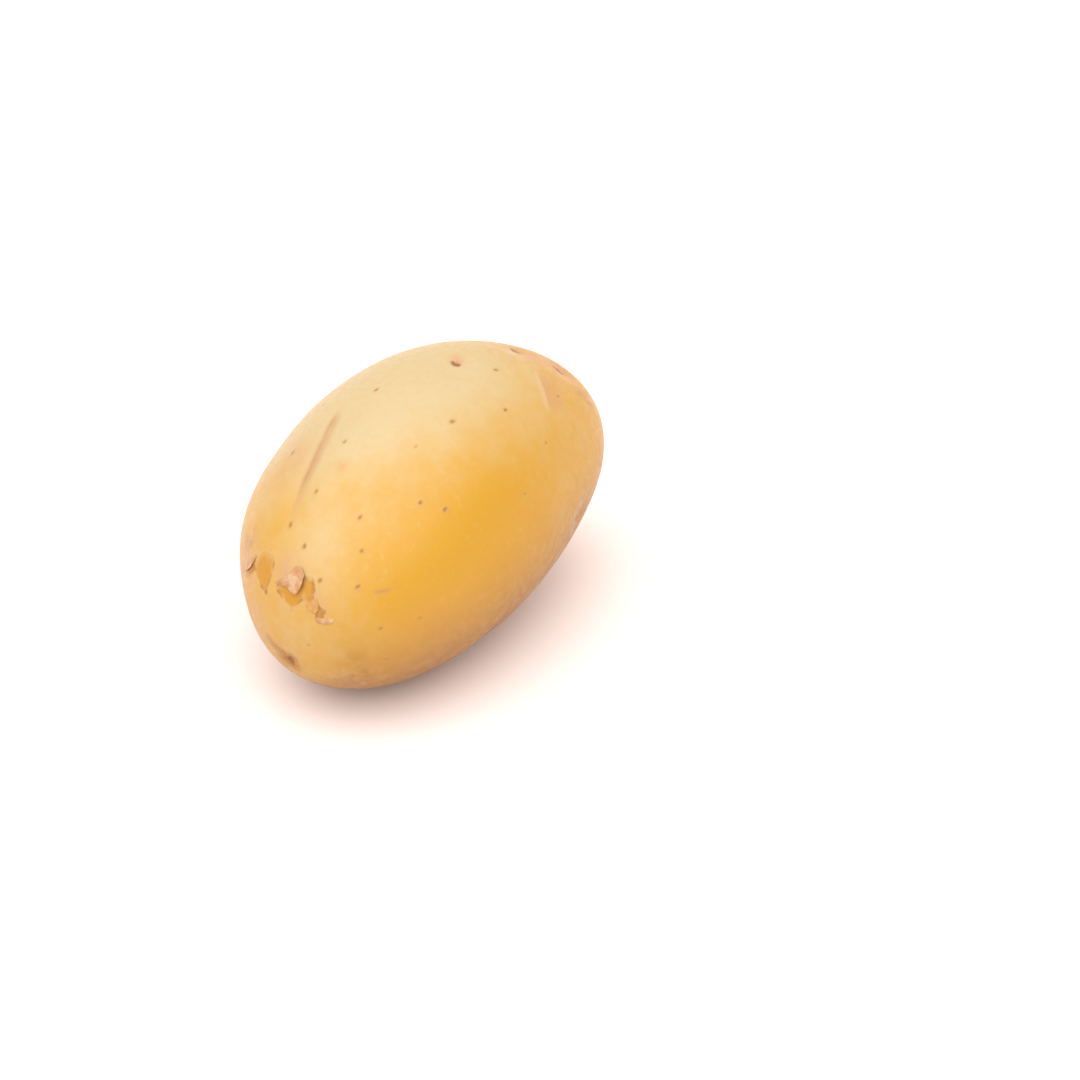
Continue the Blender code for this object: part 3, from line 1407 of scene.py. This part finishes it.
    def material(self) -> bpy.types.Material:
        """Makes the skin's material.

        Returns:
            The material.
        """
        material, weave, shader = new_material("potato_skin")
        own_place = weave.add("TexCoord").outputs["Object"]
        turned = weave.add("Mapping", {"Vector": own_place, "Rotation": (0.0, self.tilt, 0.0)})
        place = turned.outputs[0]
        noises = weave.mottle(self.group, place, self.cloud_size)
        gloss = Slope(0.3, 0.7, self.roughness - 0.06, self.roughness + 0.08)
        rough = weave.span(weave.mark(Mark.TORN), Slope(-0.3, 0.2, 0.0, 0.14))
        surface = {
            "Base Color": self.colour(weave, noises),
            "Roughness": weave.sum("ADD", weave.span(noises.fine, gloss), rough),
            "Normal": self.relief(weave, noises, place),
            "Sheen Weight": self.sheen_weight,
            "Sheen Roughness": self.sheen_roughness,
            "Sheen Tint": self.sheen,
        }
        weave.dress(shader, surface | self.depth.inputs())
        return material


@dataclass(frozen=True)
class FlakeFinish:
    """Papery loose skin, with painted light and shade in noisy lighter and darker patches."""

    group: bpy.types.NodeTree
    look: FlakeLook
    roughness: float = 0.55
    depth: Depth = Depth(0.15, 0.0006)
    cloud_size: float = 0.0018
    bump_strength: float = 0.4
    bump_distance: float = 0.00012

    def material(self) -> bpy.types.Material:
        """Makes the material of the flakes that have this look.

        Returns:
            The material.
        """
        name, body, painted_light_tint, painted_shade_tint = self.look.value
        material, weave, shader = new_material(name)
        place = weave.add("TexCoord").outputs["Object"]
        noises = weave.mottle(self.group, place, self.cloud_size)
        # painted light and shade: lighter and darker copies of the body colour, spread by noise
        tint = weave.blend(weave.span(noises.cloud, Slope(0.46, 0.60)), body, painted_light_tint)
        tint = weave.blend(weave.span(noises.cloud, Slope(0.42, 0.30)), tint, painted_shade_tint)
        gloss = Slope(0.3, 0.7, self.roughness - 0.08, self.roughness + 0.08)
        amount = {"Strength": self.bump_strength, "Distance": self.bump_distance}
        surface = {
            "Base Color": tint,
            "Roughness": weave.span(noises.fine, gloss),
            "Normal": weave.add("Bump", {"Height": noises.fine} | amount).outputs["Normal"],
        }
        weave.dress(shader, surface | self.depth.inputs())
        return material


@dataclass(frozen=True)
class FloorFinish:
    """Matt white paper."""

    white: Colour = (0.82, 0.75, 0.745)
    roughness: float = 0.9
    fibre_scale: float = 90.0

    def material(self) -> bpy.types.Material:
        """Makes the floor's material.

        Returns:
            The material.
        """
        material, weave, shader = new_material("paper")
        fibres = weave.noise(weave.add("TexCoord").outputs["Object"], self.fibre_scale)
        gloss = weave.span(fibres, Slope(0.3, 0.7, self.roughness - 0.05, self.roughness))
        paper = {"Base Color": self.white, "Specular IOR Level": 0.0, "Roughness": gloss}
        weave.dress(shader, paper)
        return material


# ---- The studio ----


def backward(azimuth: float, elevation: float) -> Vector:
    """The direction from the potato to something that looks at it from these angles."""
    turn, rise = math.radians(azimuth), math.radians(elevation)
    return Vector(
        (math.sin(turn) * math.cos(rise), -math.cos(turn) * math.cos(rise), math.sin(rise))
    )


def hang(name: str, data: bpy.types.ID, place: Vector, back: Vector) -> bpy.types.Object:
    """Puts a light or a camera in the scene, looking at the potato.

    Args:
        name: The object's name.
        data: The light or the camera.
        place: Where it is.
        back: The direction from the potato to it.

    Returns:
        The object.
    """
    hung = bpy.data.objects.new(name, data)
    hung.location = place
    hung.rotation_euler = back.to_track_quat("Z", "Y").to_euler()
    bpy.context.scene.collection.objects.link(hung)
    return hung


@dataclass(frozen=True)
class WideLight:
    """Even light from a large part of the ceiling."""

    azimuth: float = -70.0
    elevation: float = 67.5
    spread: float = math.radians(95.0)
    strength: float = 3.33
    tint: Colour = (0.92, 1.0, 1.06)

    def build(self) -> None:
        """Hangs the light and turns it to the potato."""
        light = bpy.data.lights.new("ceiling", "SUN")
        light.angle = self.spread
        light.energy = self.strength
        light.color = self.tint
        back = backward(self.azimuth, self.elevation)
        hang("ceiling", light, back, back)


@dataclass(frozen=True)
class Studio:
    """The white floor, the light and the camera."""

    azimuth: float = -55.0
    elevation: float = 33.5
    distance: float = 0.550
    lens: float = 85.0
    nearest: float = 0.01  # the camera sees nothing closer than this
    farthest: float = 50.0
    aim_right: float = 25.4 * MM  # the camera looks this far to the right of the potato
    aim_down: float = 8.1 * MM
    floor_side: float = 14.0
    walls: float = 1.08  # how bright the room's walls are where they light the potato
    wall_tint: Colour = (1.0, 0.80, 0.66)
    seen_walls: Colour = (1.0, 1.0, 1.0)
    ceiling: WideLight = WideLight()

    def build(self, centre: Vector) -> None:
        """Makes the floor, the lights and the camera round the potato.

        Args:
            centre: The middle of the potato.
        """
        self.floor()
        self.surroundings()
        self.ceiling.build()
        self.camera(centre)
        bpy.context.scene.view_settings.view_transform = "Standard"

    def floor(self) -> None:
        """Lays the floor under the potato."""
        shape = bmesh.new()
        bmesh.ops.create_grid(shape, x_segments=1, y_segments=1, size=0.5 * self.floor_side)
        mesh = mesh_of(shape, "floor")
        mesh.materials.append(FloorFinish().material())
        floor = bpy.data.objects.new("floor", mesh)
        bpy.context.scene.collection.objects.link(floor)
        floor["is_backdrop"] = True

    def surroundings(self) -> None:
        """Surrounds everything with pale walls, which the camera sees as plain white."""
        world = bpy.data.worlds.new("white_room")
        world.use_nodes = True
        weave = Weave(world.node_tree)
        seen = weave.add("LightPath").outputs["Is Camera Ray"]
        room = {
            "Color": weave.blend(seen, self.wall_tint, self.seen_walls),
            "Strength": weave.span(seen, Slope(0.0, 1.0, self.walls, 1.0)),
        }
        weave.dress(world.node_tree.nodes["Background"], room)
        bpy.context.scene.world = world

    def camera(self, centre: Vector) -> None:
        """Sets the camera up and makes it the scene's own.

        Args:
            centre: The middle of the potato.
        """
        data = bpy.data.cameras.new("camera")
        data.lens = self.lens
        data.clip_start = self.nearest
        data.clip_end = self.farthest
        back = backward(self.azimuth, self.elevation)
        turn = math.radians(self.azimuth)
        right = Vector((math.cos(turn), math.sin(turn), 0.0))
        aim = centre + right * self.aim_right - back.cross(right) * self.aim_down
        camera = hang("camera", data, aim + back * self.distance, back)
        bpy.context.scene.camera = camera


# ---- Where everything is ----


def over_skin(*places: tuple[float, float]) -> tuple[SkinPlace, ...]:
    """The places of a line, each from how far along and how far round the tuber it is."""
    return tuple(SkinPlace(along, around) for along, around in places)


EYES = (
    Eye(SkinPlace(0.318, 91.7), 1.15, 1, 0.0, lid_radius=0.90 * MM, lid_width=0.72 * MM),
    Eye(SkinPlace(0.705, 93.5), 1.20, 2, 6.0),
    Eye(SkinPlace(0.785, 117.0), 1.45, 1, -10.0),
    Eye(SkinPlace(0.84, 48.0), 1.10, 3, 12.0, lid_sweep=math.radians(74.0)),
    Eye(SkinPlace(0.62, 5.0), 1.25, 2, -8.0, bud_radius=0.36 * MM),
    Eye(SkinPlace(0.90, 190.0), 1.10, 2, 20.0, lid_sweep=math.radians(42.0)),
    Eye(SkinPlace(0.80, -95.0), 0.85, 1, -20.0),
    Eye(SkinPlace(0.42, 195.0), 0.95, 3, 5.0, bud_radius=0.34 * MM),
    Eye(SkinPlace(0.98, -20.0), 0.90, 3, 0.0, lid_sweep=math.radians(40.0)),
    Eye(SkinPlace(0.15, -25.0), 1.10, 1, 24.0, lid_sweep=math.radians(66.0)),
    Eye(SkinPlace(-0.25, -140.0), 1.00, 2, -16.0, bud_radius=0.32 * MM),
    Eye(SkinPlace(-0.50, -5.0), 0.80, 1, 0.0, lid_sweep=math.radians(46.0)),
)

STEM_SCAR = StemScar(SkinPlace(-0.984, -80.0))

STEM_STREAK = CorkyStreak(
    over_skin((-0.982, -12.0), (-0.987, -38.0), (-0.988, -60.0), (-0.985, -80.0))
)

FURROW = Furrow(
    over_skin(
        (-0.13, 69.0), (-0.22, 70.0), (-0.30, 71.0), (-0.42, 73.5),
        (-0.54, 75.0), (-0.64, 75.5), (-0.71, 76.0), (-0.76, 76.5),
    )
)

# a short faint crease, with the same painted shade along it
FAINT_LINE = Furrow(
    over_skin((-0.785, 141.0), (-0.74, 146.0), (-0.695, 148.0)),
    groove_width=1.0 * MM,
    groove_depth=0.05 * MM,
    band_width=1.3 * MM,
)

PALE_FOLD = PaleFold(
    over_skin(
        (0.60, 110.0), (0.56, 116.0), (0.51, 122.5), (0.475, 127.5), (0.44, 132.0), (0.40, 138.0)
    )
)

# Each row: along, around, length and width in millimetres, turn in degrees, point.
TORN_PATCHES = tuple(
    TornPatch(SkinPlace(along, around), length * MM, width * MM, turn, point)
    for along, around, length, width, turn, point in (
        (-0.890, 57.3, 8.0, 5.8, 105.0, 0.50),
        # the next patch, under the curled flake, is partly bare flesh and partly the flake's painted
        # shadow
        (-0.932, 92.0, 6.4, 7.0, 79.0, 0.80),
        (-0.905, 106.0, 5.0, 3.2, 60.0, 0.0),
        (-0.932, 129.0, 3.4, 1.8, 40.0, 0.0),
        (-0.865, 39.0, 6.5, 1.8, 4.0, 0.0),
        (-0.80, -25.0, 6.5, 1.6, -8.0, 0.0),
        (0.10, -65.0, 3.6, 2.2, 30.0, 0.0),
        (0.72, -150.0, 4.6, 1.8, 50.0, 0.0),
    )
)

# Each row: along, around, width in millimetres, amount.
TONE_ROWS = {
    Mark.GOLD: (
        (0.20, 84.0, 62.0, -0.80), (-0.30, 74.0, 46.0, -0.50), (-0.15, 30.0, 60.0, -0.58),
        # Below, the first row paints a highlight on the ridge near the stem end, and the last row
        # paints yellow light bounced onto the flank round 165 degrees.
        (-0.76, 102.0, 20.0, -0.30), (-0.97, 125.0, 36.0, -0.20), (-0.35, 165.0, 60.0, 0.35),
        (0.45, -30.0, 60.0, -0.35), (-0.45, -60.0, 50.0, -0.30), (0.55, -130.0, 50.0, -0.30),
    ),
    Mark.BLUSH: (
        (-0.48, 64.0, 24.0, 0.55), (0.82, 85.0, 40.0, 0.45), (-0.85, 25.0, 30.0, 0.40),
        (-0.48, 90.0, 5.0, 0.45), (0.68, 104.0, 6.0, 0.70), (0.77, 117.0, 10.0, 0.60),
        (0.34, 89.0, 6.0, 0.45), (0.95, -60.0, 45.0, 0.40), (0.20, 15.0, 50.0, 0.25),
        # painted shade: a darker pinkish tone over the lower flank round -160 degrees
        (-0.60, -160.0, 45.0, 0.50),
    ),
    Mark.DRY: (
        (-0.875, 84.0, 7.0, 0.75), (-0.83, 36.0, 10.0, 0.80), (-0.91, 118.0, 6.0, 0.50),
        (-0.96, 8.0, 8.0, 0.45), (-0.79, -20.0, 8.0, 0.50),
    ),
    Mark.STAIN: (
        (-0.775, 42.0, 6.0, 0.35), (-0.90, -143.0, 8.0, 0.60), (-0.885, -154.0, 6.0, 0.45),
        (-0.91, -174.0, 5.0, 0.28), (-0.97, -60.0, 12.0, 0.30), (0.74, 143.0, 8.0, 0.40),
        (0.30, -60.0, 16.0, 0.30), (0.55, -120.0, 12.0, 0.28),
    ),
}

TONES = tuple(
    Tone(mark, SkinPlace(along, around), width * MM, amount)
    for mark, rows in TONE_ROWS.items()
    for along, around, width, amount in rows
)

# Each row: along, around, radius in millimetres, tone.
LENTICELS = tuple(
    Lenticel(SkinPlace(along, around), radius * MM, tone)
    for along, around, radius, tone in (
        (0.39, 106.0, 0.56, 0.72), (0.22, 123.0, 0.44, 0.80), (-0.03, 113.0, 0.54, 0.72),
        (-0.05, 78.0, 0.50, 0.80), (-0.24, 110.0, 0.42, 0.35), (-0.37, 84.0, 0.50, 0.65),
        (-0.45, 60.0, 0.54, 0.65), (-0.61, 85.0, 0.48, 0.65), (-0.62, 111.0, 0.46, 0.95),
        (-0.42, 127.0, 0.50, 0.92), (-0.75, 77.5, 0.52, 0.82), (-0.80, 91.5, 0.52, 0.90),
        (-0.71, 122.0, 0.50, 0.78), (-0.80, 134.0, 0.52, 0.80), (-0.865, 112.0, 0.48, 0.82),
        (-0.935, 56.0, 0.56, 0.92), (-0.81, 165.0, 0.46, 0.60), (-0.81, -169.0, 0.52, 0.35),
        (-0.985, 158.0, 0.36, 0.40), (-0.36, 136.0, 0.52, 0.70), (-0.67, 170.0, 0.42, 0.40),
    )
)

FLAKES = (
    SkinFlake(
        "flake_curled", SkinPlace(-0.898, 86.5), 227.0, 6.4 * MM, 7.2 * MM, 0.72 * MM,
        (
            (1.30, -0.02), (0.70, 0.95), (0.05, 1.15), (-0.40, 0.85), (-0.72, 0.42),
            (-0.88, -0.20), (-0.70, -0.70), (-0.40, -1.12), (-0.02, -0.78), (0.30, -0.40),
            (0.85, -0.24),
        ),
        FlakeLook.DRY,
        side_curl=0.30 * MM,
    ),
    SkinFlake(
        "flake_side", SkinPlace(-0.924, 114.0), 246.0, 5.2 * MM, 3.4 * MM, 0.30 * MM,
        ((-1.0, -0.4), (-0.7, 0.8), (0.2, 1.0), (0.9, 0.5), (1.0, -0.2), (0.3, -0.9)),
        FlakeLook.FRESH,
    ),
    SkinFlake(
        "flake_small", SkinPlace(-0.929, 135.5), 230.0, 2.2 * MM, 3.8 * MM, 0.32 * MM,
        ((-0.8, -0.7), (-1.0, 0.2), (-0.5, 0.9), (0.5, 1.0), (1.0, 0.1), (0.7, -0.9), (0.0, -1.0)),
        FlakeLook.DRY,
    ),
    SkinFlake(
        "flake_rim", SkinPlace(-0.845, 39.0), 185.0, 2.8 * MM, 7.0 * MM, 0.50 * MM,
        ((-1.0, -0.5), (-0.7, 0.7), (0.2, 1.0), (1.0, 0.3), (0.8, -0.5), (0.3, -1.0)),
        FlakeLook.DRY,
    ),
    SkinFlake(
        "flake_back", SkinPlace(-0.79, -22.0), 170.0, 2.6 * MM, 4.8 * MM, 0.45 * MM,
        ((-1.0, -0.8), (-0.8, 0.7), (0.2, 1.0), (0.9, 0.3), (0.6, -0.4), (0.2, -1.0)),
        FlakeLook.FRESH,
    ),
)


SCATTER_WANDER = 0.05  # how far the wandering moves a scattered lenticel along the tuber
SCATTER_TURN = 22.0  # degrees that it moves the lenticel round the tuber
SCATTER_SPAN = 0.97  # how near the ends the lenticels get, on a tuber that ends at 1


def scattered_lenticels(count: int = 64, clearance: float = 0.30) -> list[Lenticel]:
    """Lenticels spread evenly over the rest of the skin.

    Args:
        count: How many places are tried.
        clearance: The least distance from the chosen lenticels, on a sphere of radius 1.

    Returns:
        The lenticels that are clear of the chosen ones.
    """
    chosen = [lenticel.place.direction() for lenticel in LENTICELS]
    chosen += [eye.place.direction() for eye in EYES]
    golden_angle = 180.0 * (3.0 - math.sqrt(5.0))
    found = []
    for index in range(count):
        wander = noise.noise(Vector((0.71 * index, 3.3, 0.0)))
        level = SCATTER_SPAN * (1.0 - 2.0 * (index + 0.5) / count)
        along = level + SCATTER_WANDER * wander
        around = (index * golden_angle + SCATTER_TURN * wander + 180.0) % 360.0 - 180.0
        place = SkinPlace(along, around)
        if min(float(np.linalg.norm(place.direction() - other)) for other in chosen) < clearance:
            continue
        size = 0.34 + 0.10 * noise.noise(Vector((1.3 * index, 0.0, 9.0)))
        found.append(Lenticel(place, size * MM, 0.55 + 0.35 * wander))
    return found


def main() -> None:
    """Builds the skin, its flakes and the studio, and reports each piece."""
    logging.basicConfig(level=logging.INFO, format="%(name)s: %(message)s")
    lo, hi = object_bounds()
    tuber = Tuber()
    features = (
        Unevenness(),
        UndersideShade(),
        *TONES,
        *EYES,
        *LENTICELS,
        *scattered_lenticels(),
        STEM_SCAR,
        STEM_STREAK,
        FURROW,
        FAINT_LINE,
        PALE_FOLD,
        *TORN_PATCHES,
        RestRub(),
    )
    skin = Skin(tuber, features).build()
    mottle = mottle_group()
    skin.data.materials.append(SkinFinish(mottle).material())
    shape = bmesh.new()
    shape.from_mesh(skin.data)
    surface = BVHTree.FromBMesh(shape)
    shape.free()
    looks = {look: FlakeFinish(mottle, look).material() for look in FlakeLook}
    for flake in FLAKES:
        flake.build(tuber, surface).data.materials.append(looks[flake.look])
    Studio().build((lo + hi) / 2)


if __name__ == "__main__":
    main()
